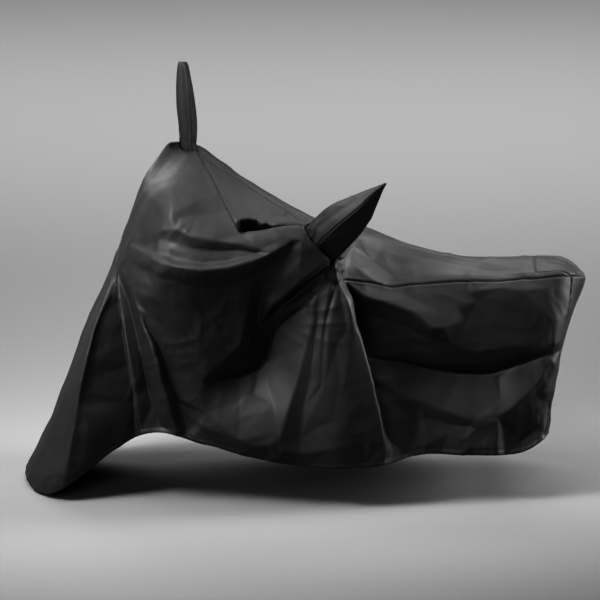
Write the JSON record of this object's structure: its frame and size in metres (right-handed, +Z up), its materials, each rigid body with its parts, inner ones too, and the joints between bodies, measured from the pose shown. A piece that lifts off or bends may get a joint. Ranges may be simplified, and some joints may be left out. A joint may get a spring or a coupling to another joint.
{
  "type": "motorcycle cover",
  "caption": "Fitted black cloth cover for a motorcycle, draped, with two mirror pockets and a low front apron.",
  "frame": {"origin": "middle of the cover's box, on the floor", "axes": "-X towards the front, -Y towards the left side, +Z up"},
  "size_m": [2.1, 0.8754, 1.5533],
  "materials": {
    "coated_cloth": "satin coated polyester taffeta"
  },
  "bodies": {
    "root": {"apron": "coated_cloth", "dash": "coated_cloth", "top": "coated_cloth", "tail": "coated_cloth", "side_front_left": "coated_cloth", "side_front_right": "coated_cloth", "side_rear_left": "coated_cloth", "side_rear_right": "coated_cloth", "mirror_pocket_left_upper": "coated_cloth", "mirror_pocket_left_lower": "coated_cloth", "mirror_pocket_right_front": "coated_cloth", "mirror_pocket_right_rear": "coated_cloth"}
  },
  "joints": []
}
